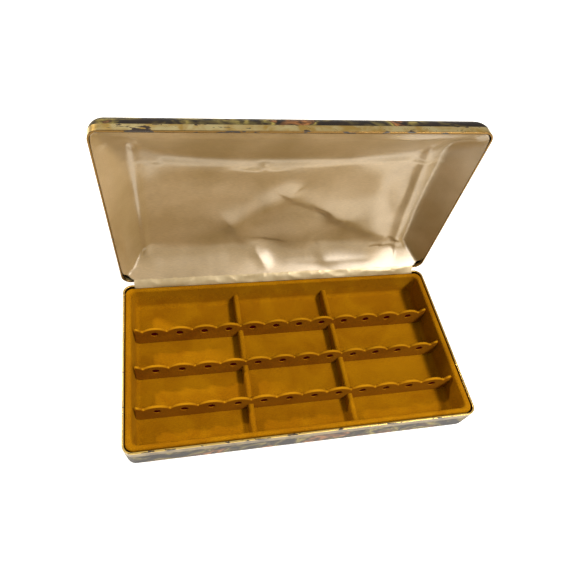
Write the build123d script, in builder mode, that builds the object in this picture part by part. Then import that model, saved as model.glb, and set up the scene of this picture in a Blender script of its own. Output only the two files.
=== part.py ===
from build123d import *
import os
from math import cos, hypot, pi, sin, tan, radians

os.makedirs("parts", exist_ok=True)

# A hinged earring case: two drawn steel shells covered in marbled leatherette, brass lips, a
# flocked tray with three pierced earring strips, and a satin-lined lid.
# Millimetres. The origin is the centre of the underside, +X right, +Y towards the hinge, +Z up.
# The lid stands open at a right angle, as the case is displayed.

# Whole case
CASE_WIDTH = 254.0
CASE_DEPTH = 137.0
CORNER_RADIUS = 7.0
BASE_HEIGHT = 26.5
LID_HEIGHT = 24.3
LIP_GAP = 0.3
BAND_HEIGHT = 6.0
WALL_TAPER = 2.5
BASE_EDGE_RADIUS = 6.5

# Sheets that make up a wall, from the outside in
LEATHERETTE = 0.3
STEEL = 0.6
BRASS = 0.35
SHELL_INSET = BRASS
INNER_LEG_INSET = SHELL_INSET + STEEL
LIP_WIDTH = INNER_LEG_INSET + BRASS
INNER_LEG_HEIGHT = 3.0
SEAM = 0.15
LIP_ROUNDING = 0.28

# Hinge: the axis stands just outside the back wall, halfway between the two lips
HINGE_SETBACK = 1.4
HINGE_Y = CASE_DEPTH / 2 + HINGE_SETBACK
HINGE_Z = BASE_HEIGHT + LIP_GAP / 2
HINGE_SPACING = 140.0
LEAF_WIDTH = 24.0
LEAF_SHEET = 0.6
LEAF_HEIGHT = 8.6
LEAF_BACK = 2.75
NECK_DROP = 0.45
KNUCKLE_RADIUS = 1.5
PIN_RADIUS = 0.6
PIN_CLEARANCE = 0.03
PIN_HEAD_RADIUS = 1.1
PIN_HEAD = 0.6
CENTRE_KNUCKLE = 12.0
KNUCKLE_GAP = 0.2
NOTCH_WIDTH = LEAF_WIDTH + 2 * PIN_HEAD + 1.2
NOTCH_DEPTH = 3.2
RIVET_DROP = 4.6
RIVET_SPACING = 14.0
RIVET_RADIUS = 1.0
RIVET_HEAD_RADIUS = 1.6
RIVET_HEAD = 0.4

# Tray
TRAY_SIDE_GAP = 0.4
TRAY_END_GAP = 1.2
TRAY_SHEET = 1.2
TRAY_SIDE_ROLL = 4.5
TRAY_END_ROLL = 3.7
TRAY_ROLL_ROUNDING = 1.8
TRAY_ROLL_DEPTH = 3.0
TRAY_TOP = BASE_HEIGHT - 0.4
TRAY_FLOOR = 5.0
TRAY_TAPER = 2.2
TRAY_FLOOR_RADIUS = 3.5
TRAY_HALF_WIDTH = CASE_WIDTH / 2 - LIP_WIDTH - TRAY_SIDE_GAP
TRAY_HALF_DEPTH = CASE_DEPTH / 2 - LIP_WIDTH - TRAY_END_GAP
TRAY_CORNER = CORNER_RADIUS - LIP_WIDTH
WELL_HALF_WIDTH = TRAY_HALF_WIDTH - TRAY_SIDE_ROLL
WELL_HALF_DEPTH = TRAY_HALF_DEPTH - TRAY_END_ROLL
WELL_CORNER = 4.5
TRAY_DRAFT = (TRAY_TOP - TRAY_FLOOR) * tan(radians(TRAY_TAPER))
BED_MARGIN = 10.5

# Earring strips and dividers
STRIP_SHEET = 1.3
STRIP_PITCH = 31.8
STRIP_MIDDLE_Y = -3.9
HOLE_PITCH = 19.05
HOLES_PER_STRIP = 12
HOLE_RADIUS = 2.1
HOLE_HEIGHT = 19.3
SCALLOP_PEAK = 24.7
SCALLOP_VALLEY = 21.0
WING_TIP = 25.3
WING_GAP = 1.6
DIVIDER_X = 2 * HOLE_PITCH
DIVIDER_WIDTH = 4.3
DIVIDER_TOP = 14.5
SLOT_CLEARANCE = 0.1
END_CLEARANCE = 0.1
LAP_HEIGHT = (TRAY_FLOOR + DIVIDER_TOP) / 2

# Lid lining: four sloping walls round a padded panel, in the lid's own frame
LINING_SHEET = 1.0
LINING_MOUTH = 1.2
LINING_DEPTH = 19.0
LINING_LIP_INSET = 3.3
PANEL_HALF_WIDTH = 109.0
PANEL_FRONT = 48.0
PANEL_BACK = 52.0
CORNER_CUT = 4.5
MITRE_SHARE = 0.7
PANEL_SHEET = 1.2
WADDING = 1.7
LID_CARD = 1.4
CARD_HALF_WIDTH = 105.0
CARD_HALF_DEPTH = 46.0


def lid_point(x, y, z):
    """World place of a point of the shut lid: y towards the hinge, z up from the lid's mouth."""
    return Vector(x, HINGE_Y + LIP_GAP / 2 + z, HINGE_Z + HINGE_Y - y)


def lid_direction(x, y, z):
    return Vector(x, z, -y)


LID_MOUTH = Plane(
    origin=lid_point(0, 0, 0), x_dir=lid_direction(1, 0, 0), z_dir=lid_direction(0, 0, 1)
)


def finish(part, name):
    part.label = name
    export_step(part, f"parts/{name}.step")


def outline(inset):
    """The case's plan outline, moved in by an inset."""
    return RectangleRounded(CASE_WIDTH - 2 * inset, CASE_DEPTH - 2 * inset, CORNER_RADIUS - inset)


def base_block(inset, top):
    """The base as a full block, moved in by an inset: straight band, tapered wall, round edge."""
    with BuildPart() as block:
        with BuildSketch(Plane.XY.offset(BASE_HEIGHT - BAND_HEIGHT)):
            outline(inset)
        extrude(amount=top - BASE_HEIGHT + BAND_HEIGHT)
        with BuildSketch(Plane.XY.offset(BASE_HEIGHT - BAND_HEIGHT)):
            outline(inset)
        extrude(amount=BASE_HEIGHT - BAND_HEIGHT - inset, dir=(0, 0, -1), taper=WALL_TAPER)
        fillet(block.faces().sort_by(Axis.Z)[0].edges(), BASE_EDGE_RADIUS - inset)
    return block.part


def lid_block(inset, mouth):
    """The lid as a full block, moved in by an inset: straight band, then a quarter round."""
    edge_radius = LID_HEIGHT - BAND_HEIGHT - inset
    steps = 8
    with BuildPart() as block:
        with BuildSketch(LID_MOUTH.offset(mouth)):
            outline(inset)
        extrude(amount=BAND_HEIGHT - mouth)
        for step in range(steps + 1):
            turn = step / steps * pi / 2
            run = edge_radius * (1 - cos(turn))
            rise = edge_radius * sin(turn)
            with BuildSketch(LID_MOUTH.offset(BAND_HEIGHT + rise)):
                RectangleRounded(
                    CASE_WIDTH - 2 * (inset + run),
                    CASE_DEPTH - 2 * (inset + run),
                    CORNER_RADIUS - inset - run / 5,
                )
        loft()
    return block.part


def notches(plane):
    """Blocks that clear both lips for the hinges; local y of the plane points to the hinge."""
    with BuildPart() as cut:
        with BuildSketch(plane):
            with GridLocations(HINGE_SPACING, 1, 2, 1):
                with Locations((0, CASE_DEPTH / 2)):
                    Rectangle(NOTCH_WIDTH, 2 * LIP_WIDTH + 1)
        extrude(amount=NOTCH_DEPTH, both=True)
    return cut.part


def rivet_posts(plane, radius, start, end):
    """Posts through the back wall; local x of the plane runs along the case, z out of the wall."""
    with BuildPart() as posts:
        with BuildSketch(plane.offset(start)):
            with GridLocations(HINGE_SPACING, 1, 2, 1):
                with GridLocations(RIVET_SPACING, 1, 2, 1):
                    Circle(radius)
        extrude(amount=end - start)
    return posts.part


# Both rivet rows: the plane's origin is on the hinge side's outer face
BASE_RIVETS = Plane(origin=(0, CASE_DEPTH / 2, HINGE_Z - RIVET_DROP), x_dir=(1, 0, 0), z_dir=(0, 1, 0))
LID_RIVETS = Plane(
    origin=lid_point(0, CASE_DEPTH / 2, RIVET_DROP - LIP_GAP / 2),
    x_dir=(1, 0, 0),
    z_dir=lid_direction(0, 1, 0),
)
BASE_LIP = Plane.XY.offset(BASE_HEIGHT)
PLATE_FACE = HINGE_SETBACK - LEAF_BACK - LEAF_SHEET


# Steel shells
def steel_shell(outer, inner, lip, rivets):
    holes = rivet_posts(rivets, RIVET_RADIUS, -3, 3)
    cut = notches(lip)
    with BuildPart() as shell:
        add(outer)
        add(inner, mode=Mode.SUBTRACT)
        add(cut, mode=Mode.SUBTRACT)
        add(holes, mode=Mode.SUBTRACT)
    return shell.part


finish(
    steel_shell(
        base_block(SHELL_INSET, BASE_HEIGHT - BRASS),
        base_block(INNER_LEG_INSET, BASE_HEIGHT + 1),
        BASE_LIP,
        BASE_RIVETS,
    ),
    "base_shell",
)
finish(
    steel_shell(
        lid_block(SHELL_INSET, BRASS), lid_block(INNER_LEG_INSET, -1), LID_MOUTH, LID_RIVETS
    ),
    "lid_shell",
)


# Leatherette covers: they stop in a fine seam under the brass
def leatherette_cover(outer, inner, seam_plane, keep):
    with BuildPart() as cover:
        add(outer)
        add(inner, mode=Mode.SUBTRACT)
        split(bisect_by=seam_plane, keep=keep)
    return cover.part


finish(
    leatherette_cover(
        base_block(0, BASE_HEIGHT),
        base_block(LEATHERETTE, BASE_HEIGHT + 1),
        Plane.XY.offset(BASE_HEIGHT - BAND_HEIGHT - SEAM),
        Keep.BOTTOM,
    ),
    "base_cover",
)
finish(
    leatherette_cover(
        lid_block(0, 0), lid_block(LEATHERETTE, -1), LID_MOUTH.offset(BAND_HEIGHT + SEAM), Keep.TOP
    ),
    "lid_cover",
)


# Brass lips: a folded channel over each shell's edge, with a deep outer leg
def brass_lip(lip, inward, rivets):
    """inward is -1 where the channel hangs below the lip plane, +1 where it stands above."""
    cut = notches(lip)
    holes = rivet_posts(rivets, RIVET_RADIUS, -3, 3)
    with BuildPart() as channel:
        with BuildSketch(lip):
            outline(0)
            add(outline_face(LIP_WIDTH), mode=Mode.SUBTRACT)
        extrude(amount=inward * INNER_LEG_HEIGHT)
        with BuildSketch(lip):
            outline(0)
            add(outline_face(SHELL_INSET), mode=Mode.SUBTRACT)
        extrude(amount=inward * BAND_HEIGHT)
        with BuildSketch(lip.offset(inward * BRASS)):
            add(outline_face(SHELL_INSET))
            add(outline_face(INNER_LEG_INSET), mode=Mode.SUBTRACT)
        extrude(amount=inward * BAND_HEIGHT, mode=Mode.SUBTRACT)
        rim_face = channel.faces().filter_by(lip).sort_by(SortBy.AREA)[-1]
        fillet(rim_face.edges(), LIP_ROUNDING)
        add(cut, mode=Mode.SUBTRACT)
        add(holes, mode=Mode.SUBTRACT)
    return channel.part


def outline_face(inset):
    with BuildSketch() as face:
        outline(inset)
    return face.sketch


finish(brass_lip(BASE_LIP, -1, BASE_RIVETS), "base_rim")
finish(brass_lip(LID_MOUTH, 1, LID_RIVETS), "lid_rim")


# Hinges: each leaf is a riveted plate whose neck passes through the notch to its knuckles
def hinge_leaf(plane, spans):
    """Section axes of the plane: x away from the case's middle, y from the plate to the axis."""
    with BuildPart() as leaf:
        with BuildSketch(plane.offset(-LEAF_WIDTH / 2)):
            with Locations((-LEAF_BACK - LEAF_SHEET / 2, -NECK_DROP)):
                Rectangle(LEAF_SHEET, LEAF_HEIGHT, align=(Align.CENTER, Align.MAX))
        extrude(amount=LEAF_WIDTH)
        for start, end in spans:
            with BuildSketch(plane.offset(start)):
                with Locations((-LEAF_BACK - LEAF_SHEET, -NECK_DROP)):
                    Rectangle(LEAF_BACK + LEAF_SHEET, LEAF_SHEET, align=(Align.MIN, Align.MAX))
                Circle(KNUCKLE_RADIUS)
                Circle(PIN_RADIUS + PIN_CLEARANCE, mode=Mode.SUBTRACT)
            extrude(amount=end - start)
        across = Plane(plane.origin, x_dir=plane.z_dir, z_dir=plane.x_dir)
        with BuildSketch(across.offset(-LEAF_BACK - 2 * LEAF_SHEET)):
            with GridLocations(RIVET_SPACING, 1, 2, 1):
                with Locations((0, RIVET_DROP * across.y_dir.dot(plane.y_dir) * -1)):
                    Circle(RIVET_RADIUS)
        extrude(amount=3 * LEAF_SHEET, mode=Mode.SUBTRACT)
    return leaf.part


CENTRE_SPAN = [(-CENTRE_KNUCKLE / 2, CENTRE_KNUCKLE / 2)]
OUTER_SPANS = [
    (-LEAF_WIDTH / 2, -CENTRE_KNUCKLE / 2 - KNUCKLE_GAP),
    (CENTRE_KNUCKLE / 2 + KNUCKLE_GAP, LEAF_WIDTH / 2),
]
for side, x in (("left", -HINGE_SPACING / 2), ("right", HINGE_SPACING / 2)):
    base_section = Plane(origin=(x, HINGE_Y, HINGE_Z), x_dir=(0, 1, 0), z_dir=(1, 0, 0))
    lid_section = Plane(origin=(x, HINGE_Y, HINGE_Z), x_dir=(0, 0, -1), z_dir=(-1, 0, 0))
    finish(hinge_leaf(base_section, OUTER_SPANS), f"hinge_base_leaf_{side}")
    finish(hinge_leaf(lid_section, CENTRE_SPAN), f"hinge_lid_leaf_{side}")
    with BuildPart() as hinge_pin:
        with BuildSketch(base_section.offset(-LEAF_WIDTH / 2)):
            Circle(PIN_RADIUS)
        extrude(amount=LEAF_WIDTH)
        with BuildSketch(base_section.offset(-LEAF_WIDTH / 2 - PIN_HEAD)):
            Circle(PIN_HEAD_RADIUS)
        extrude(amount=PIN_HEAD)
        with BuildSketch(base_section.offset(LEAF_WIDTH / 2)):
            Circle(PIN_HEAD_RADIUS)
        extrude(amount=PIN_HEAD)
    finish(hinge_pin.part, f"hinge_pin_{side}")

for name, plane in (("base_rivets", BASE_RIVETS), ("lid_rivets", LID_RIVETS)):
    shanks = rivet_posts(plane, RIVET_RADIUS - PIN_CLEARANCE, PLATE_FACE, 0)
    heads = rivet_posts(plane, RIVET_HEAD_RADIUS, PLATE_FACE - RIVET_HEAD, PLATE_FACE)
    tails = rivet_posts(plane, RIVET_HEAD_RADIUS, 0, RIVET_HEAD)
    with BuildPart() as rivets:
        add(shanks)
        add(heads)
        add(tails)
        out = Axis(plane.origin, plane.z_dir)
        fillet(rivets.faces().group_by(out)[-1].edges(), RIVET_HEAD - 0.05)
    finish(rivets.part, name)


# Tray: one flocked moulding with a rolled rim
def well(shift, top, floor, floor_radius):
    """The tray's drafted hollow as a block, moved out by a shift."""
    with BuildPart() as block:
        with BuildSketch(Plane.XY.offset(TRAY_TOP)):
            RectangleRounded(
                2 * (WELL_HALF_WIDTH + shift), 2 * (WELL_HALF_DEPTH + shift), WELL_CORNER + shift
            )
        extrude(amount=TRAY_TOP - floor, dir=(0, 0, -1), taper=TRAY_TAPER)
        fillet(block.faces().sort_by(Axis.Z)[0].edges(), floor_radius)
        split(bisect_by=Plane.XY.offset(top), keep=Keep.BOTTOM)
    return block.part


roll_underside = TRAY_TOP - TRAY_SHEET
tub = well(TRAY_SHEET, roll_underside, TRAY_FLOOR - TRAY_SHEET, TRAY_FLOOR_RADIUS + TRAY_SHEET)
hollow = well(0, TRAY_TOP, TRAY_FLOOR, TRAY_FLOOR_RADIUS)
with BuildPart() as tray:
    with BuildSketch(Plane.XY.offset(TRAY_TOP - TRAY_ROLL_DEPTH)):
        RectangleRounded(2 * TRAY_HALF_WIDTH, 2 * TRAY_HALF_DEPTH, TRAY_CORNER)
    extrude(amount=TRAY_ROLL_DEPTH)
    fillet(tray.faces().sort_by(Axis.Z)[-1].edges(), TRAY_ROLL_ROUNDING)
    with BuildSketch(Plane.XY.offset(TRAY_TOP - TRAY_ROLL_DEPTH)):
        RectangleRounded(
            2 * (TRAY_HALF_WIDTH - TRAY_SHEET),
            2 * (TRAY_HALF_DEPTH - TRAY_SHEET),
            TRAY_CORNER - TRAY_SHEET,
        )
    extrude(amount=TRAY_ROLL_DEPTH - TRAY_SHEET, mode=Mode.SUBTRACT)
    add(tub)
    add(hollow, mode=Mode.SUBTRACT)
    mouth_edges = tray.faces().filter_by(Plane.XY.offset(TRAY_TOP)).sort_by(Axis.Z)[-1].inner_wires()
    fillet(mouth_edges.edges(), TRAY_ROLL_ROUNDING)
finish(tray.part, "tray")

# A board packs the tray up off the shell's floor
with BuildPart() as tray_bed:
    with BuildSketch(Plane.XY.offset(INNER_LEG_INSET)):
        RectangleRounded(
            CASE_WIDTH - 2 * BED_MARGIN, CASE_DEPTH - 2 * BED_MARGIN, CORNER_RADIUS
        )
    extrude(amount=TRAY_FLOOR - TRAY_SHEET - INNER_LEG_INSET)
finish(tray_bed.part, "tray_bed")


# Earring strips: scalloped, pierced, with points that run up the tray's end walls
def strip_profile():
    """Half the strip's top edge is a run of arcs, one to a scallop, then the end point."""
    floor_half = WELL_HALF_WIDTH - TRAY_DRAFT - END_CLEARANCE
    tip_half = floor_half - WING_GAP
    corner = TRAY_FLOOR_RADIUS + END_CLEARANCE
    last_valley = HOLES_PER_STRIP / 2 * HOLE_PITCH
    with BuildSketch() as profile:
        with BuildLine():
            for hole in range(HOLES_PER_STRIP):
                start = -last_valley + hole * HOLE_PITCH
                ThreePointArc(
                    (start, SCALLOP_VALLEY),
                    (start + HOLE_PITCH / 2, SCALLOP_PEAK),
                    (start + HOLE_PITCH, SCALLOP_VALLEY),
                )
            for way in (-1, 1):
                ThreePointArc(
                    (way * last_valley, SCALLOP_VALLEY),
                    (way * (last_valley + tip_half + 0.6) / 2, SCALLOP_VALLEY + 1.4),
                    (way * tip_half, WING_TIP),
                )
                Polyline(
                    (way * tip_half, WING_TIP),
                    (way * floor_half, TRAY_FLOOR + corner),
                    (way * (floor_half - corner), TRAY_FLOOR),
                )
            Line((-(floor_half - corner), TRAY_FLOOR), (floor_half - corner, TRAY_FLOOR))
        make_face()
    return profile.sketch


strip_outline = strip_profile()
for place, name in ((1, "back"), (0, "middle"), (-1, "front")):
    y = STRIP_MIDDLE_Y + place * STRIP_PITCH
    with BuildPart() as strip:
        with BuildSketch(Plane.XZ.offset(-y)):
            add(strip_outline)
            with Locations((0, HOLE_HEIGHT)):
                with GridLocations(HOLE_PITCH, 1, HOLES_PER_STRIP, 1):
                    Circle(HOLE_RADIUS, mode=Mode.SUBTRACT)
            with Locations((-DIVIDER_X, TRAY_FLOOR), (DIVIDER_X, TRAY_FLOOR)):
                Rectangle(
                    DIVIDER_WIDTH + 2 * SLOT_CLEARANCE,
                    2 * (LAP_HEIGHT - TRAY_FLOOR),
                    mode=Mode.SUBTRACT,
                )
        extrude(amount=STRIP_SHEET / 2, both=True)
    finish(strip.part, f"earring_strip_{name}")

# Dividers: round-topped bars, halved over the strips
for side, x in (("left", -DIVIDER_X), ("right", DIVIDER_X)):
    half_length = WELL_HALF_DEPTH - TRAY_DRAFT - END_CLEARANCE
    with BuildPart() as divider:
        with BuildSketch(Plane.XZ):
            with Locations((x, TRAY_FLOOR)):
                Rectangle(DIVIDER_WIDTH, DIVIDER_TOP - TRAY_FLOOR, align=(Align.CENTER, Align.MIN))
        extrude(amount=half_length, both=True)
        fillet(divider.edges().filter_by(Axis.Y).group_by(Axis.Z)[-1], DIVIDER_WIDTH / 2 - 0.1)
        chamfer(divider.edges().filter_by(Axis.X).group_by(Axis.Z)[0], TRAY_FLOOR_RADIUS)
        with BuildSketch(Plane.XY.offset(LAP_HEIGHT)):
            with Locations((x, STRIP_MIDDLE_Y)):
                with GridLocations(1, STRIP_PITCH, 1, 3):
                    Rectangle(2 * DIVIDER_WIDTH, STRIP_SHEET + 2 * SLOT_CLEARANCE)
        extrude(amount=DIVIDER_TOP, mode=Mode.SUBTRACT)
    finish(divider.part, f"divider_{side}")

# Lid filling, from the steel inwards: board, wadding, satin-covered panel
CARD_FACE = LID_HEIGHT - INNER_LEG_INSET - LID_CARD
for name, half_width, low, high, face, sheet in (
    ("lid_card", CARD_HALF_WIDTH, -CARD_HALF_DEPTH, CARD_HALF_DEPTH, CARD_FACE, LID_CARD),
    ("lid_wadding", CARD_HALF_WIDTH, -CARD_HALF_DEPTH, CARD_HALF_DEPTH, CARD_FACE - WADDING, WADDING),
    ("lining_panel", PANEL_HALF_WIDTH, -PANEL_FRONT, PANEL_BACK, LINING_DEPTH, PANEL_SHEET),
):
    with BuildPart() as layer:
        with BuildSketch(LID_MOUTH.offset(face)):
            with Locations((0, (low + high) / 2)):
                RectangleRounded(2 * half_width - 1, high - low - 1, 3)
        extrude(amount=sheet)
    finish(layer.part, name)


# Lining walls: satin over card, each sloping from the lip down to the panel, corners cut away
def lining_wall(side, edge, low, high):
    """side points out of the lid in plan; edge is the panel's edge that way, low and high its ends."""
    out = Vector(*side)
    along = out.cross(Vector(0, 0, 1))
    lip_half_width = CASE_WIDTH / 2 - LINING_LIP_INSET
    lip_half_depth = CASE_DEPTH / 2 - LINING_LIP_INSET
    lip_edge, lip_half = (
        (lip_half_width, lip_half_depth) if abs(out.X) > 0.5 else (lip_half_depth, lip_half_width)
    )
    run = lip_edge - edge
    rise = LINING_DEPTH - LINING_MOUTH
    slant = hypot(run, rise)
    up_slope = (out * run - Vector(0, 0, rise)) / slant
    outward = along.cross(up_slope)
    foot = out * edge + Vector(0, 0, LINING_DEPTH)
    plane = Plane(
        origin=lid_point(*foot), x_dir=lid_direction(*along), z_dir=lid_direction(*outward)
    )
    low_knee = low + MITRE_SHARE * (-lip_half - low)
    high_knee = high + MITRE_SHARE * (lip_half - high)
    with BuildPart() as wall:
        with BuildSketch(plane):
            with BuildLine():
                Polyline(
                    (low, 0),
                    (high, 0),
                    (high_knee, MITRE_SHARE * slant),
                    (lip_half - CORNER_CUT, slant),
                    (CORNER_CUT - lip_half, slant),
                    (low_knee, MITRE_SHARE * slant),
                    close=True,
                )
            make_face()
        extrude(amount=LINING_SHEET)
    return wall.part


WIDE = PANEL_HALF_WIDTH
for name, side, edge, low, high in (
    ("lining_back", (0, 1, 0), PANEL_BACK, -WIDE, WIDE),
    ("lining_front", (0, -1, 0), PANEL_FRONT, -WIDE, WIDE),
    ("lining_right", (1, 0, 0), WIDE, -PANEL_BACK, PANEL_FRONT),
    ("lining_left", (-1, 0, 0), WIDE, -PANEL_FRONT, PANEL_BACK),
):
    finish(lining_wall(side, edge, low, high), name)

# Satin strip over the hinge gap, from behind the tray's rim to the lid's lining
with BuildPart() as hinge_cover:
    with BuildSketch(Plane.YZ):
        with BuildLine():
            Polyline(
                (TRAY_HALF_DEPTH + 0.28, BASE_HEIGHT - 1.2),
                (TRAY_HALF_DEPTH + 0.28, BASE_HEIGHT + 0.3),
                (CASE_DEPTH / 2 - 0.9, BASE_HEIGHT + 2.3),
                (HINGE_Y - 0.4, BASE_HEIGHT + 3.6),
                (HINGE_Y + 1.1, BASE_HEIGHT + 4.3),
            )
            offset(amount=0.15, side=Side.BOTH)
        make_face()
    extrude(amount=CASE_WIDTH / 2 - 9, both=True)
finish(hinge_cover.part, "hinge_cover")
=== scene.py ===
import bpy, bmesh, math
from mathutils import Matrix, Vector, geometry, noise


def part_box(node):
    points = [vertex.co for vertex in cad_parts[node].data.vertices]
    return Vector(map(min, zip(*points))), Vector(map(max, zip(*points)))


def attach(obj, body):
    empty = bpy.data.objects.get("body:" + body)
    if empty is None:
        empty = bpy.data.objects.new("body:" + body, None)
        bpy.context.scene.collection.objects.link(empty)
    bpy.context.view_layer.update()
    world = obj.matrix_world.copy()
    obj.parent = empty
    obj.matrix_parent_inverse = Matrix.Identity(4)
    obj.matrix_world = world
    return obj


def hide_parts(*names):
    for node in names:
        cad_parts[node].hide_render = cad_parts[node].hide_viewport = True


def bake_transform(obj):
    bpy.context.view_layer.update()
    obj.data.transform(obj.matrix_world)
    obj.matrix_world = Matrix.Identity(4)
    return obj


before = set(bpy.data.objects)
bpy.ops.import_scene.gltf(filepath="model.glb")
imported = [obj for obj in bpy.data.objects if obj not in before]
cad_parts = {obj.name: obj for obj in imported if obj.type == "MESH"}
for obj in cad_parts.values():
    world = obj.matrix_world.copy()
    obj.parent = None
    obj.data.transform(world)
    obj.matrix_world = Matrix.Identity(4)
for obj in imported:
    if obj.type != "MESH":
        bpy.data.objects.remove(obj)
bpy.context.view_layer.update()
MM = 0.001

# ---------------------------------------------------------------------------------------------
# Camera: a hand-held view from above the front left corner, rolled a little, from about 34 cm.
# ---------------------------------------------------------------------------------------------
VIEW_AZIMUTH, VIEW_ELEVATION, VIEW_ROLL = math.radians(-20.7), math.radians(56.9), math.radians(13.3)
VIEW_DISTANCE = 0.3409
LOOK_AT_X, LOOK_AT_ABOVE_LIP = -0.0127, 0.02928
LENS_MM, SENSOR_MM = 29.78, 36
VIEW_SHIFT = (0.011, 0.0666)

LIP_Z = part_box("base_rim")[1][2]
look_at = Vector((LOOK_AT_X, 0, LIP_Z + LOOK_AT_ABOVE_LIP))
backward = Vector((
    math.sin(VIEW_AZIMUTH) * math.cos(VIEW_ELEVATION),
    -math.cos(VIEW_AZIMUTH) * math.cos(VIEW_ELEVATION),
    math.sin(VIEW_ELEVATION),
))
rightward = (-backward).cross(Vector((0, 0, 1))).normalized()
rightward = Matrix.Rotation(-VIEW_ROLL, 3, -backward) @ rightward
upward = backward.cross(rightward)
camera = bpy.data.objects.new("camera", bpy.data.cameras.new("camera"))
camera.data.lens, camera.data.sensor_width = LENS_MM, SENSOR_MM
camera.data.shift_x, camera.data.shift_y = VIEW_SHIFT
camera.matrix_world = Matrix.Translation(look_at + backward * VIEW_DISTANCE) @ Matrix(
    (rightward, upward, backward)
).transposed().to_4x4()
bpy.context.collection.objects.link(camera)
bpy.context.scene.camera = camera


# ---------------------------------------------------------------------------------------------
# Table and light: a white lit table top under a soft white ceiling. One small softbox high on
# the right, a wider one in front, and a window behind on the left that looks in past the lid.
# ---------------------------------------------------------------------------------------------
def linear(colour):
    """An sRGB hex colour as linear red, green, blue and alpha."""
    channels = [int(colour[i:i + 2], 16) / 255 for i in (1, 3, 5)]
    return [c / 12.92 if c <= 0.04045 else ((c + 0.055) / 1.055) ** 2.4 for c in channels] + [1.0]


def add_node(tree, kind, settings=None, **sockets):
    """A new node with its settings, and values or links for its sockets (underscores are spaces)."""
    node = tree.nodes.new(kind)
    for key, value in (settings or {}).items():
        setattr(node, key, value)
    for key, value in sockets.items():
        numbered = key[0] == "i" and key[1:].isdigit()
        socket = node.inputs[int(key[1:])] if numbered else node.inputs[key.replace("_", " ")]
        if isinstance(value, bpy.types.NodeSocket):
            tree.links.new(value, socket)
        else:
            socket.default_value = value
    return node


def new_material(name, **values):
    """A node material with its shader's values set, then its tree and its shader."""
    material = bpy.data.materials.new(name)
    material.use_nodes = True
    shader = material.node_tree.nodes["Principled BSDF"]
    for key, value in values.items():
        shader.inputs[key.replace("_", " ")].default_value = value
    return material, material.node_tree, shader


def new_object(name, mesh, material):
    """An object made of one material, put in the scene."""
    piece = bpy.data.objects.new(name, mesh)
    mesh.materials.append(material)
    bpy.context.collection.objects.link(piece)
    return piece


def ramp(tree, source, stops):
    """Colours (or grey levels) along a value, as position and hex colour pairs."""
    node = add_node(tree, "ShaderNodeValToRGB", Fac=source)
    bar = node.color_ramp
    while len(bar.elements) < len(stops):
        bar.elements.new(0.5)
    for element, (place, colour) in zip(bar.elements, stops):
        element.position, element.color = place, linear(colour)
    return node.outputs["Color"]


# White laminate lit from below, so that it stays white and throws light up the sides
table_top, tree, shader = new_material(
    "lit_table_top", Base_Color=linear("#F4F3F0"), Roughness=0.8, Emission_Color=linear("#FFFFFF"),
    Emission_Strength=0.55,
)
TABLE_HALF = 3.0
TABLE_CORNERS = ((-1, -1), (1, -1), (1, 1), (-1, 1))
table_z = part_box("base_cover")[0][2]
table_mesh = bpy.data.meshes.new("table")
corners = [(x * TABLE_HALF, y * TABLE_HALF, table_z) for x, y in TABLE_CORNERS]
table_mesh.from_pydata(corners, [], [(0, 1, 2, 3)])
new_object("table", table_mesh, table_top)

# Brighter overhead than at the horizon, which gives the brass something to reflect
ceiling = bpy.data.worlds.new("ceiling")
ceiling.use_nodes = True
tree = ceiling.node_tree
sky = add_node(tree, "ShaderNodeTexCoord").outputs["Generated"]
height = add_node(tree, "ShaderNodeSeparateXYZ", Vector=sky).outputs["Z"]
glow = ramp(tree, height, ((0.0, "#6E6A66"), (0.35, "#A8A29C"), (0.9, "#FFFFFF")))
tree.links.new(glow, tree.nodes["Background"].inputs["Color"])
tree.nodes["Background"].inputs["Strength"].default_value = 0.62
bpy.context.scene.world = ceiling
bpy.context.scene.view_settings.view_transform = "Standard"

LAMPS_AIM_AT = Vector((0, 0.02, 0.05))


def softbox(name, place, size, watts, colour):
    """A square lamp aimed at the middle of the box."""
    lamp = bpy.data.objects.new(name, bpy.data.lights.new(name, "AREA"))
    lamp.data.shape, lamp.data.size, lamp.data.energy = "SQUARE", size, watts
    lamp.data.color = linear(colour)[:3]
    lamp.location = place
    lamp.rotation_mode = "QUATERNION"
    lamp.rotation_quaternion = (LAMPS_AIM_AT - Vector(place)).to_track_quat("-Z", "Y")
    bpy.context.collection.objects.link(lamp)


softbox("key_softbox", (0.60, -0.40, 1.10), 0.22, 14.5, "#FFF6EA")
softbox("front_fill", (0.60, -1.05, 0.95), 0.5, 6.0, "#FFFFFF")
softbox("window_behind_left", (-0.62, 0.46, 0.72), 0.08, 6.0, "#FFF2D8")


# ---------------------------------------------------------------------------------------------
# Leatherette covers: paper-backed imitation leather glued round each steel half and tucked
# under the brass. Printed with a black and brown marbling veined in olive gold and rust.
# ---------------------------------------------------------------------------------------------
def mottle(tree, size_mm, detail=2.0, distortion=0.0, stretch=(1, 1, 1), seed=0.0):
    """A noise whose blotches are about size_mm across, in the case's own coordinates."""
    place = add_node(tree, "ShaderNodeTexCoord").outputs["Object"]
    moved = add_node(tree, "ShaderNodeMapping", Vector=place, Location=(seed, seed * 0.7, seed * 1.3),
                     Scale=stretch)
    return add_node(
        tree, "ShaderNodeTexNoise", Vector=moved.outputs["Vector"], Scale=1 / (size_mm * MM),
        Detail=detail, Distortion=distortion,
    ).outputs["Fac"]


def relief(tree, shader, height, depth_mm, strength=1.0):
    """Raises a surface by a height pattern, depth_mm from lowest to highest."""
    bump = add_node(tree, "ShaderNodeBump", Height=height, Distance=depth_mm * MM, Strength=strength)
    tree.links.new(bump.outputs["Normal"], shader.inputs["Normal"])


def blend_colours(tree, share, low, high, kind="MIX"):
    """Mixes two colours by a share; either may be a socket or a colour."""
    settings = {"data_type": "RGBA", "blend_type": kind}
    return add_node(tree, "ShaderNodeMix", settings, i0=share, i6=low, i7=high).outputs[2]


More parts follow.
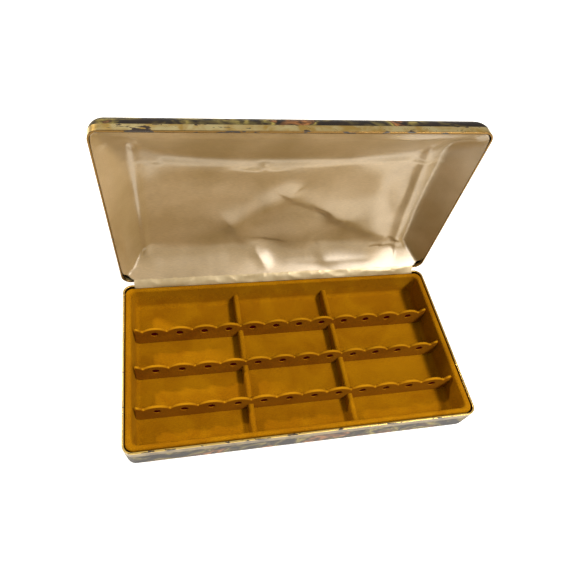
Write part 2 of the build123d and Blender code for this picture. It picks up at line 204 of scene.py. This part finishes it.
def give(material, *nodes):
    """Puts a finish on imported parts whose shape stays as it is."""
    for node in nodes:
        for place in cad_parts[node].material_slots:
            place.material = material


# Embossed vinyl on paper: dark and nearly matt, its marbling in soft patches a finger wide,
# with a fine grain that breaks up the light along the rounded edges
MARBLING_MM, VEINS_MM, GRAIN_MM = 26, 11, 0.7
leatherette, tree, shader = new_material("marbled_leatherette", Roughness=0.5, Specular_IOR_Level=0.3)
cloud = ramp(tree, mottle(tree, MARBLING_MM, 3, 0.7), (
    (0.30, "#0E0A08"), (0.42, "#22180F"), (0.48, "#564D2A"), (0.53, "#8C7E40"), (0.57, "#3E2D19"),
    (0.63, "#96663A"), (0.70, "#4C2F17"), (0.80, "#120D0A"),
))
veins = ramp(tree, mottle(tree, VEINS_MM, 4, 1.0, seed=0.31), ((0.38, "#202020"), (0.56, "#FFFFFF")))
marbling = blend_colours(tree, veins, linear("#1A140F"), cloud)
tree.links.new(marbling, shader.inputs["Base Color"])
relief(tree, shader, mottle(tree, GRAIN_MM, 2), 0.06)
give(leatherette, "base_cover", "lid_cover")


# ---------------------------------------------------------------------------------------------
# Brass lips: a channel of lacquered brass folded over each half's edge. The lacquer and plate
# have gone from its edges in small dark chips, and from one larger spot on the lid's front.
# ---------------------------------------------------------------------------------------------
WORN_SPOT = (-0.100, 0.072, LIP_Z + 0.138)
WORN_SPOT_CORE, WORN_SPOT_EDGE = 4 * MM, 13 * MM
SIDES_FROM, SIDES_TO = 121 * MM, 126 * MM
CHIPS_MM, CHIP_EDGE = 2.4, 0.025


def lacquered_brass(name, dull, bright, chips_from, lip):
    """Brass between two tones, with dark chips where the chipping pattern is above a level.

    lip is the axis that runs out to the folded lip, where that begins and ends, its colour
    (on the lid a painted shade) and how much more it has chipped.
    """
    metal, tree, shader = new_material(name)
    place = add_node(tree, "ShaderNodeTexCoord").outputs["Object"]
    across = add_node(tree, "ShaderNodeSeparateXYZ", Vector=place)
    axis, lip_start, lip_end, lip_colour_incl_painted_shade, lip_wear = lip
    at_lip = add_node(tree, "ShaderNodeMapRange", Value=across.outputs[axis], From_Min=lip_start,
                      From_Max=lip_end).outputs["Result"]
    tone = ramp(tree, mottle(tree, 9, 4, 0.6), ((0.35, dull), (0.62, bright)))
    # The lip's colour, which on the lid is painted shade
    tone = blend_colours(tree, at_lip, tone, linear(lip_colour_incl_painted_shade))
    from_spot = add_node(tree, "ShaderNodeVectorMath", {"operation": "DISTANCE"}, i0=place, i1=WORN_SPOT)
    near_spot = add_node(tree, "ShaderNodeMapRange", Value=from_spot.outputs["Value"],
                         From_Min=WORN_SPOT_CORE, From_Max=WORN_SPOT_EDGE, To_Min=0.16,
                         To_Max=0.0).outputs["Result"]
    sideways = add_node(tree, "ShaderNodeMath", {"operation": "ABSOLUTE"}, i0=across.outputs["X"])
    less_at_sides = add_node(tree, "ShaderNodeMapRange", Value=sideways.outputs["Value"],
                             From_Min=SIDES_FROM, From_Max=SIDES_TO, To_Min=0.0,
                             To_Max=-0.04).outputs["Result"]
    wear = add_node(tree, "ShaderNodeMath", {"operation": "MULTIPLY_ADD"}, i0=at_lip, i1=lip_wear,
                    i2=near_spot)
    wear = add_node(tree, "ShaderNodeMath", {"operation": "ADD"}, i0=wear.outputs["Value"],
                    i1=less_at_sides)
    level = add_node(tree, "ShaderNodeMath", {"operation": "ADD"}, i0=wear.outputs["Value"],
                     i1=mottle(tree, CHIPS_MM, 3, 0.2, (0.3, 1, 1))).outputs["Value"]
    chipped = ramp(tree, level, ((chips_from, "#000000"), (chips_from + CHIP_EDGE, "#FFFFFF")))
    tree.links.new(blend_colours(tree, chipped, tone, linear("#2C2118")), shader.inputs["Base Color"])
    whole = add_node(tree, "ShaderNodeMath", {"operation": "SUBTRACT"}, i0=1.0, i1=chipped)
    tree.links.new(whole.outputs["Value"], shader.inputs["Metallic"])
    sheen = add_node(tree, "ShaderNodeMapRange", Value=mottle(tree, 4, 3, seed=0.2), To_Min=0.2,
                     To_Max=0.42)
    tree.links.new(sheen.outputs["Result"], shader.inputs["Roughness"])
    relief(tree, shader, mottle(tree, 6, 3, 0.2, (0.3, 1, 1)), 0.12, 0.5)
    return metal


# The lid's brass is pale gold, its lip drawn brown as painted shade; the base's is drawn dark as painted
# shade under a brighter lip
lid_lip_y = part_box("lid_rim")[0][1]
lid_lip = ("Y", lid_lip_y + 0.7 * MM, lid_lip_y + 0.2 * MM, "#7A5E34", 0.07)
base_lip = ("Z", LIP_Z - 1.2 * MM, LIP_Z - 0.5 * MM, "#D8B868", 0.05)
give(lacquered_brass("lid_brass", "#E2BA66", "#FFE9A8", 0.66, lid_lip), "lid_rim")
# The base's dark brass tones are painted shade
give(lacquered_brass("base_brass_painted_shade", "#5E5038", "#857450", 0.64, base_lip), "base_rim")


# ---------------------------------------------------------------------------------------------
# Steel halves: drawn sheet steel, dipped in black lacquer. They show in the lid's corners,
# where the lining stops short, and in the thin gap beside the tray.
# ---------------------------------------------------------------------------------------------
def colour_by(tree, shader, pattern, low, high):
    """Colours a surface along a pattern, between two position and hex colour pairs."""
    tree.links.new(ramp(tree, pattern, (low, high)), shader.inputs["Base Color"])


# Dipped lacquer: a brownish black gloss with the faint waves of the dip
lacquer, tree, shader = new_material("black_lacquer", Roughness=0.35)
colour_by(tree, shader, mottle(tree, 6, 4), (0.4, "#120D08"), (0.7, "#2A1E12"))
relief(tree, shader, mottle(tree, 2, 2), 0.03)
give(lacquer, "base_shell", "lid_shell")


# ---------------------------------------------------------------------------------------------
# Hinges: two brass-plated steel butt hinges on pins, each leaf held by two steel rivets. They
# sit behind the satin strip.
# ---------------------------------------------------------------------------------------------
# Plated sheet, rolled: tarnished yellow metal with fine marks along the leaf
plating, tree, shader = new_material("brass_plated_steel", Metallic=1.0, Roughness=0.32)
colour_by(tree, shader, mottle(tree, 5, 4), (0.35, "#8E7440"), (0.65, "#C8A868"))
relief(tree, shader, mottle(tree, 1.2, 2, 0, (1, 0.2, 1)), 0.02)
give(plating, "hinge_base_leaf_left", "hinge_base_leaf_right", "hinge_lid_leaf_left",
     "hinge_lid_leaf_right", "hinge_pin_left", "hinge_pin_right")

# Headed steel wire: a grey metal, a little hammered
steel, tree, shader = new_material("rivet_steel", Metallic=1.0, Roughness=0.3)
colour_by(tree, shader, mottle(tree, 1.5, 3), (0.3, "#7C766C"), (0.7, "#B4AEA2"))
relief(tree, shader, mottle(tree, 0.8, 2), 0.02)
give(steel, "base_rivets", "lid_rivets")


# ---------------------------------------------------------------------------------------------
# Tray and dividers: a thin moulding sprayed with mustard cotton flock, and two round-topped
# bars flocked with it. The pile is brushed every way, so the colour shifts in broad patches.
# ---------------------------------------------------------------------------------------------
BRUSHED_PATCH_MM, FIBRE_MM = 30, 0.45


def mustard_flock(name, dull, bright):
    """Short brushed pile between two tones, with a golden bloom where it is seen edge-on."""
    flock, tree, shader = new_material(
        name, Roughness=1.0, Specular_IOR_Level=0.05, Sheen_Weight=0.25,
        Sheen_Tint=linear("#D9A01A"), Sheen_Roughness=0.45,
    )
    brushed = ramp(tree, mottle(tree, BRUSHED_PATCH_MM, 3, 0.8), ((0.38, dull), (0.62, bright)))
    fibres = ramp(tree, mottle(tree, FIBRE_MM, 3), ((0.35, "#A8A8A8"), (0.65, "#FFFFFF")))
    tree.links.new(blend_colours(tree, 1.0, brushed, fibres, "MULTIPLY"), shader.inputs["Base Color"])
    relief(tree, shader, mottle(tree, 0.5, 3), 0.18)
    return flock


# Cotton flock: soft and without gloss. The fibres are drawn coarser than real ones, to show
tray_flock = mustard_flock("mustard_flock", "#A46A03", "#B37905")
give(tray_flock, "tray", "divider_left", "divider_right")


# ---------------------------------------------------------------------------------------------
# Earring strips: three flocked cards with a row of twelve scallops, a pierced hole behind each
# and a point at either end that runs up the tray's wall. Dark discs inside the holes are painted shade.
# ---------------------------------------------------------------------------------------------
HOLES = 12
HOLE_PITCH = 19.05 * MM
HOLE_RADIUS = 2.4 * MM
SHADE_DISC_DEPTH = 0.55 * MM
PILE = 0.55 * MM
EDGE_ROUND = 0.8 * MM
EDGE_LAYERS = 4
SCALLOP_DROP, TIP_ABOVE_PEAK, TIP_LEAN = 5.1 * MM, 1.4 * MM, 1.6 * MM
HOLE_BELOW_PEAK = 6.7 * MM
FIN = 6.5 * MM
PAST_THE_CARD = 0.5 * MM
SLOT_X, SLOT_HALF, SLOT_HEIGHT = 38.1 * MM, 2.25 * MM, 4.7 * MM
FOOT_BEVEL = 2.6 * MM
TOP_POINTS = 90

# The same flock on card with light painted in: a browner tone on its upright face is painted shade, and
# a paler tone where the top edge faces up is a painted highlight
card_flock_painted_light = mustard_flock("mustard_flock_on_card_painted_light", "#844802", "#945804")
tree, shader = card_flock_painted_light.node_tree, card_flock_painted_light.node_tree.nodes["Principled BSDF"]
# Painted highlight: the paler tone is mixed in as the surface turns to face up
facing = add_node(tree, "ShaderNodeNewGeometry").outputs["Normal"]
upward_part = add_node(tree, "ShaderNodeSeparateXYZ", Vector=facing).outputs["Z"]
painted_highlight_share = add_node(tree, "ShaderNodeMapRange", Value=upward_part, From_Min=0.45, From_Max=1.0)
painted_shade_face_tone = shader.inputs["Base Color"].links[0].from_socket
card_tone_painted_light = blend_colours(tree, painted_highlight_share.outputs["Result"], painted_shade_face_tone, linear("#AA760A"))
tree.links.new(card_tone_painted_light, shader.inputs["Base Color"])

# Painted shade: a dead dark red on discs set inside the holes, which makes each hole read as deep
painted_hole_shade, tree, shader = new_material("painted_shade_in_holes", Roughness=1.0, Specular_IOR_Level=0.0)
colour_by(tree, shader, mottle(tree, 0.8, 3), (0.3, "#340206"), (0.7, "#4C0C0A"))


def strip_outline(floor, tip, half_width):
    """The strip's edge as points of x and height, anticlockwise, drawn in by the edge's rounding."""
    peak = tip - TIP_ABOVE_PEAK - EDGE_ROUND
    valley = peak - SCALLOP_DROP
    last_valley = HOLES / 2 * HOLE_PITCH
    end, foot = half_width + PAST_THE_CARD - EDGE_ROUND, floor + EDGE_ROUND
    bottom = [(FOOT_BEVEL - end, foot)]
    for side in (-1, 1):
        near, far = side * SLOT_X - SLOT_HALF - EDGE_ROUND, side * SLOT_X + SLOT_HALF + EDGE_ROUND
        bottom += [(near, foot), (near, foot + SLOT_HEIGHT), (far, foot + SLOT_HEIGHT), (far, foot)]
    bottom += [(end - FOOT_BEVEL, foot), (end, foot + FOOT_BEVEL)]
    tip_x = end - TIP_LEAN
    half_top = []
    for step in range(TOP_POINTS + 1):
        x = tip_x * (1 - step / TOP_POINTS)
        arch = 2 * (x / HOLE_PITCH % 1) - 1
        height = valley + (peak - valley) * (1 - arch * arch) ** 0.75 if x < last_valley else valley
        rise = max(0.0, x - tip_x + FIN) / FIN
        half_top.append((x, max(height, valley + (tip - EDGE_ROUND - valley) * rise ** 1.4)))
    mirrored = [(-x, z) for x, z in reversed(half_top[:-1])]
    return bottom + half_top + mirrored + [(-end, foot + FOOT_BEVEL)]


def shifted(ring, amount):
    """A ring of points moved to its right, as it runs, by an amount."""
    moved = []
    for before, here, after in zip(ring[-1:] + ring[:-1], ring, ring[1:] + ring[:1]):
        run = (Vector(after) - Vector(before)).normalized()
        moved.append((here[0] + run.y * amount, here[1] - run.x * amount))
    return moved


def hole_edge(x, z):
    """A hole's edge as 24 points, clockwise, drawn out by the edge's rounding."""
    radius = HOLE_RADIUS + EDGE_ROUND
    turns = [-step / 24 * math.tau for step in range(24)]
    return [(x + radius * math.cos(turn), z + radius * math.sin(turn)) for turn in turns]


for node in ("earring_strip_back", "earring_strip_middle", "earring_strip_front"):
    low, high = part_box(node)
    middle_y = (low[1] + high[1]) / 2
    half_sheet = (high[1] - low[1]) / 2 + PILE
    hole_z = high[2] - TIP_ABOVE_PEAK - HOLE_BELOW_PEAK
    holes_x = [(hole - (HOLES - 1) / 2) * HOLE_PITCH for hole in range(HOLES)]
    rings = [strip_outline(low[2], high[2], high[0])] + [hole_edge(x, hole_z) for x in holes_x]
    card = bmesh.new()
    faces_of_card = ([], [])
    for ring in rings:
        layers = []
        for step in range(2 * EDGE_LAYERS):
            turn = min(step, 2 * EDGE_LAYERS - 1 - step) / (EDGE_LAYERS - 1) * math.pi / 2
            front = 1 if step < EDGE_LAYERS else -1
            y = middle_y - front * (half_sheet - EDGE_ROUND * (1 - math.cos(turn)))
            outer = shifted(ring, EDGE_ROUND * math.sin(turn))
            layers.append([card.verts.new((x, y, z)) for x, z in outer])
        for near, far in zip(layers, layers[1:]):
            for index in range(len(ring)):
                corners = (near[index - 1], near[index], far[index], far[index - 1])
                card.faces.new(corners).smooth = True
        faces_of_card[0].append(layers[0])
        faces_of_card[1].append(layers[-1])
    cut = geometry.tessellate_polygon([[Vector((x, z, 0)) for x, z in ring] for ring in rings])
    for side in faces_of_card:
        corners = [vert for ring in side for vert in ring]
        for triangle in cut:
            card.faces.new([corners[index] for index in triangle])
    bmesh.ops.recalc_face_normals(card, faces=card.faces)
    # A dark disc a little inside each hole from either face: painted shade
    for x in holes_x:
        for side in (-1, 1):
            place = Matrix.Translation((x, middle_y + side * (half_sheet - SHADE_DISC_DEPTH), hole_z))
            disc = bmesh.ops.create_circle(
                card, cap_ends=True, radius=HOLE_RADIUS + EDGE_ROUND / 3, segments=20,
                matrix=place @ Matrix.Rotation(math.pi / 2, 4, "X"),
            )
            for face in {face for vert in disc["verts"] for face in vert.link_faces}:
                face.material_index = 1
    mesh = bpy.data.meshes.new(node + "_flocked")
    card.to_mesh(mesh)
    strip = new_object(node + "_flocked", mesh, card_flock_painted_light)
    mesh.materials.append(painted_hole_shade)
    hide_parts(node)
    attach(strip, "base")


# ---------------------------------------------------------------------------------------------
# Packing: a greyboard bed under the tray, and a greyboard and a sheet of cotton wadding behind
# the lid's lining. None of it shows while the case is whole.
# ---------------------------------------------------------------------------------------------
# Rolled waste-paper board: grey, flecked and quite matt
greyboard, tree, shader = new_material("greyboard", Roughness=0.95)
colour_by(tree, shader, mottle(tree, 1.5, 5), (0.3, "#77726A"), (0.7, "#999388"))
relief(tree, shader, mottle(tree, 0.6, 3), 0.05)
give(greyboard, "tray_bed", "lid_card")

# Carded cotton: off-white and fluffy
wadding, tree, shader = new_material("cotton_wadding", Roughness=1.0)
colour_by(tree, shader, mottle(tree, 4, 5), (0.3, "#D8D2C4"), (0.7, "#F2EEE4"))
relief(tree, shader, mottle(tree, 2, 4), 0.6)
give(wadding, "lid_wadding")


# ---------------------------------------------------------------------------------------------
# Lid lining: one sheet of champagne satin stretched over the wadding and turned under at the
# lip, cut away at the corners. It is loose enough to have sagged into soft folds.
# ---------------------------------------------------------------------------------------------
# Rayon satin weave: floating threads give a broad silvery sheen that runs up and down the lid,
# so that every fold has a pale side and a brown one. The threads are drawn coarse, to show
THREAD_MM = 0.35
ALONG_THREADS = (0.12, 1, 1)
satin, tree, shader = new_material(
    "champagne_satin", Metallic=0.15, IOR=1.75, Roughness=0.34, Anisotropic=0.4, Specular_IOR_Level=1.0,
)
dye = ramp(tree, mottle(tree, 40, 3, 0.5), ((0.35, "#A08655"), (0.65, "#B99F72")))
threads = mottle(tree, THREAD_MM, 2, 0, ALONG_THREADS)
shading = ramp(tree, threads, ((0.3, "#E2E2E2"), (0.7, "#FFFFFF")))
tree.links.new(blend_colours(tree, 1.0, dye, shading, "MULTIPLY"), shader.inputs["Base Color"])
weft = add_node(tree, "ShaderNodeCombineXYZ", X=0.0, Y=0.0, Z=1.0)
tree.links.new(weft.outputs["Vector"], shader.inputs["Tangent"])
relief(tree, shader, threads, 0.01)

# The lid's hollow, in its own x, y towards the hinge and depth from the lip
lid_low, lid_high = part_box("lid_rim")
lid_middle_z = (lid_low[2] + lid_high[2]) / 2
panel_low, panel_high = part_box("lining_panel")
HALF_X = lid_high[0] - 1.4 * MM
FRONT_Y = -(lid_high[2] - lid_middle_z - 1.6 * MM)
BACK_Y = lid_middle_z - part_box("lining_back")[0][2]
PANEL_X = panel_high[0] + 0.5 * MM
PANEL_FRONT, PANEL_BACK = lid_middle_z - panel_high[2], lid_middle_z - panel_low[2]
DEPTH = panel_low[1] - lid_lip_y
MOUTH = 0.4 * MM
FRONT_SLOPE_MORE = 12 * MM
WADDING_CROWN = 1.6 * MM
LIP_PUFF, PUFF_FROM_LIP, PUFF_WIDTH = 1.2 * MM, 5 * MM, 4 * MM
HELD_AT_LIP = 6 * MM
WAVER, WAVER_LENGTH, WAVER_WIDTH = 1.3 * MM, 34 * MM, 24 * MM


def lid_place(x, y, depth):
    """A point of the lid's hollow in the case's coordinates: y towards the hinge, depth from the lip."""
    return Vector((x, lid_lip_y + depth, lid_middle_z - y))


def soft_least(a, b, width):
    """The smaller of two depths, with the corner between them rounded over a width."""
    share = max(0.0, min(1.0, 0.5 + 0.5 * (b - a) / width))
    return b + (a - b) * share - width * share * (1 - share)


# Folds as start and end (x, y), half widths to their left and right as they run, and height,
# all in millimetres; a height below nought is a crease
FOLDS = (
    ((-86, -31), (-20, -28), 4, 14, 1.4),
    ((-20, -28), (84, -32), 4, 18, 1.8),
    ((-105, -44), (-107, 50), 3.0, 3.2, 2.0),
    ((-119, -52), (-119, 58), 3.0, 3.0, 1.2),
    ((97, -46), (100, 46), 10.0, 4.5, 2.2),
    ((4, 0), (46, 20), 10, 2.6, 1.3),
    ((40, 17), (90, 42), 18, 7.0, 3.4),
    ((10, 44), (70, 50), 26, 14, 4.6),
    ((-40, 24), (0, -4), 10, 8, 2.8),
    ((84, -18), (88, 34), 12, 10, -2.0),
    ((-36, 34), (-24, 50), 12, 7, 1.6),
    ((-20, 54), (-14, 62), 6, 4, 1.2),
    ((34, 52), (40, 62), 9, 5, 1.0),
    ((-92, 58), (-44, 57), 9, 9, -1.3),
    ((-122, -63), (-102, -52), 2.2, 2.2, -1.6),
)


def fold_height(x, y):
    """How far the folds lift the satin at a place given in millimetres."""
    total = 0.0
    for (x0, y0), (x1, y1), left, right, height in FOLDS:
        run, here = Vector((x1 - x0, y1 - y0)), Vector((x - x0, y - y0))
        share = max(0.0, min(1.0, here.dot(run) / run.length_squared))
        half_width = right if run.x * here.y - run.y * here.x > 0 else left
        total += height * math.exp(-((here - run * share).length / half_width) ** 2)
    return total * MM


def lining_depth(x, y):
    """How deep the satin lies: the least of four slopes and the panel, crowned by the wadding."""
    drop = DEPTH - MOUTH
    sides = MOUTH + (HALF_X - abs(x)) / (HALF_X - PANEL_X) * drop
    front_edge = PANEL_FRONT + FRONT_SLOPE_MORE * (1 - min(1.0, abs(x / PANEL_X)) ** 4)
    front = MOUTH + (y - FRONT_Y) / (front_edge - FRONT_Y) * drop
    back = MOUTH + (BACK_Y - y) / (BACK_Y - PANEL_BACK) * drop
    mitre = 5 * MM if y < 0 else 1.6 * MM
    depth = soft_least(soft_least(sides, front, 9 * MM), back, mitre)
    crown = WADDING_CROWN * (1 - (x / PANEL_X) ** 2) * (1 - (y / PANEL_BACK) ** 2)
    if sides < min(front, back):
        edge_width = 2.5 * MM
    else:
        edge_width = 4 * MM if front < back else 13 * MM
    depth = soft_least(depth, DEPTH - max(0.0, crown), edge_width)
    inward = min((HALF_X - abs(x)), (y - FRONT_Y), (BACK_Y - y))
    puff = LIP_PUFF * math.exp(-((y - FRONT_Y - PUFF_FROM_LIP) / PUFF_WIDTH) ** 2)
    loose = min(1.0, max(0.0, inward / HELD_AT_LIP))
    waver = WAVER * noise.noise(Vector((x / WAVER_LENGTH, y / WAVER_WIDTH, 3.1)))
    sagged = depth - puff * loose - loose * (fold_height(x / MM, y / MM) + waver)
    return max(MOUTH * 0.6, soft_least(sagged, DEPTH, 1 * MM))


def corner_cut(across, down):
    """How far the sheet is cut back from its side, towards the corners at a place from -1 to 1."""
    if down > 0:
        cut = 7.0 * MM
    else:
        cut = 4.5 * MM if across > 0 else 2.0 * MM
    return cut * abs(down) ** 22


def sheet_through(name, lines, material, turned=False):
    """A smooth sheet through lines of points, with a face between each four neighbours."""
    sheet = bmesh.new()
    grid = [[sheet.verts.new(point) for point in line] for line in lines]
    for line, following in zip(grid, grid[1:]):
        for a, b, c, d in zip(line, line[1:], following[1:], following):
            corners = (a, d, c, b) if turned else (a, b, c, d)
            sheet.faces.new(corners).smooth = True
    mesh = bpy.data.meshes.new(name)
    sheet.to_mesh(mesh)
    return new_object(name, mesh, material)


def settle(piece, hold, slack, frames, soften):
    """Cloth simulation of a sheet cut a little too large, held back towards its shape by weights."""
    group = piece.vertex_groups.new(name="hold")
    for index, weight in enumerate(hold):
        group.add([index], weight, "REPLACE")
    cloth = piece.modifiers.new("cloth", "CLOTH")
    cloth.settings.quality = 6
    cloth.settings.mass = 0.12
    cloth.settings.tension_stiffness = cloth.settings.compression_stiffness = 25
    cloth.settings.bending_stiffness = 4.0
    cloth.settings.shrink_min = -slack
    cloth.settings.vertex_group_mass = "hold"
    cloth.settings.pin_stiffness = 1.0
    cloth.settings.effector_weights.gravity = 0.1
    cloth.collision_settings.use_collision = False
    scene = bpy.context.scene
    for step in range(1, frames + 1):
        scene.frame_set(step)
    shape = piece.evaluated_get(bpy.context.evaluated_depsgraph_get())
    places = [vert.co.copy() for vert in shape.data.vertices]
    piece.modifiers.remove(cloth)
    settled = bmesh.new()
    settled.from_mesh(piece.data)
    for vert, place in zip(settled.verts, places):
        vert.co = place
    inner = [vert for vert in settled.verts if not vert.is_boundary]
    every_way = {"use_axis_x": True, "use_axis_y": True, "use_axis_z": True}
    for _ in range(soften):
        bmesh.ops.smooth_vert(settled, verts=inner, factor=0.5, **every_way)
    settled.to_mesh(piece.data)
    scene.frame_set(1)


ACROSS, DOWN = 220, 120
lines = []
hold = []
for row in range(DOWN + 1):
    v = -1 + 2 * row / DOWN
    y = FRONT_Y + (BACK_Y - FRONT_Y) * row / DOWN
    line = []
    for column in range(ACROSS + 1):
        u = -1 + 2 * column / ACROSS
        x = u * (HALF_X - corner_cut(u, v))
        line.append(lid_place(x, y, lining_depth(x, y)))
        edge = min(row, column, DOWN - row, ACROSS - column)
        hold.append(1.0 if edge == 0 else 0.7 if edge < 16 else 0.5)
    lines.append(line)
lid_lining = sheet_through("lid_lining", lines, satin)
settle(lid_lining, hold, 0.006, 16, 2)
finer = lid_lining.modifiers.new("finer", "SUBSURF")
finer.levels = finer.render_levels = 1
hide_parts("lining_panel", "lining_back", "lining_front", "lining_left", "lining_right")
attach(lid_lining, "lid")


# ---------------------------------------------------------------------------------------------
# Hinge cover: a paler satin strip glued behind the tray's rim and under the edge of the lid's
# lining, so that it hides the hinges. It is pinched into small creases along its length.
# ---------------------------------------------------------------------------------------------
# The same satin drawn paler than the lining as a painted highlight, its sheen broken up by the creases
pale_satin_painted_highlight, tree, shader = new_material("pale_satin_painted_highlight", Metallic=0.2, Roughness=0.38)
colour_by(tree, shader, mottle(tree, 12, 3), (0.35, "#A6926A"), (0.65, "#BBA983"))
relief(tree, shader, mottle(tree, THREAD_MM, 2, 0, ALONG_THREADS), 0.01)

# The strip's way from the tray's rim up to the lining, as shares of the space it fills
COVER_PATH = ((0.0, 0.0), (0.06, 0.30), (0.30, 0.62), (0.62, 0.86), (1.0, 1.0))
COVER_ROWS, COVER_COLUMNS = 12, 220
CREASE_DEPTH, CREASE_SPACING = 1.3 * MM, 17 * MM
SAG_DEPTH, SAG_SPACING = 0.4 * MM, 35 * MM
cover_low, cover_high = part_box("hinge_cover")
lines = []
hold = []
for column in range(COVER_COLUMNS + 1):
    x = cover_low[0] + (cover_high[0] - cover_low[0]) * column / COVER_COLUMNS
    line = []
    for row in range(COVER_ROWS + 1):
        place = row / COVER_ROWS * (len(COVER_PATH) - 1)
        step = min(int(place), len(COVER_PATH) - 2)
        (y0, z0), (y1, z1) = COVER_PATH[step], COVER_PATH[step + 1]
        y = y0 + (y1 - y0) * (place - step)
        z = z0 + (z1 - z0) * (place - step)
        middle = math.sin(math.pi * row / COVER_ROWS)
        crease = abs(noise.noise(Vector((x / CREASE_SPACING, row * 0.08, 5.0)))) ** 0.6
        sag = CREASE_DEPTH * crease + SAG_DEPTH * noise.noise(Vector((x / SAG_SPACING, 0, 9.0)))
        sag *= middle
        line.append(Vector((
            x,
            cover_low[1] + (cover_high[1] - cover_low[1]) * y + sag * 0.7,
            cover_low[2] + (cover_high[2] - cover_low[2]) * z - sag * 0.7,
        )))
        hold.append(1.0 if row in (0, COVER_ROWS) else 0.35)
    lines.append(line)
cover = sheet_through("hinge_cover_satin", lines, pale_satin_painted_highlight, turned=True)
settle(cover, hold, 0.012, 14, 2)
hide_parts("hinge_cover")
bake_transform(cover)
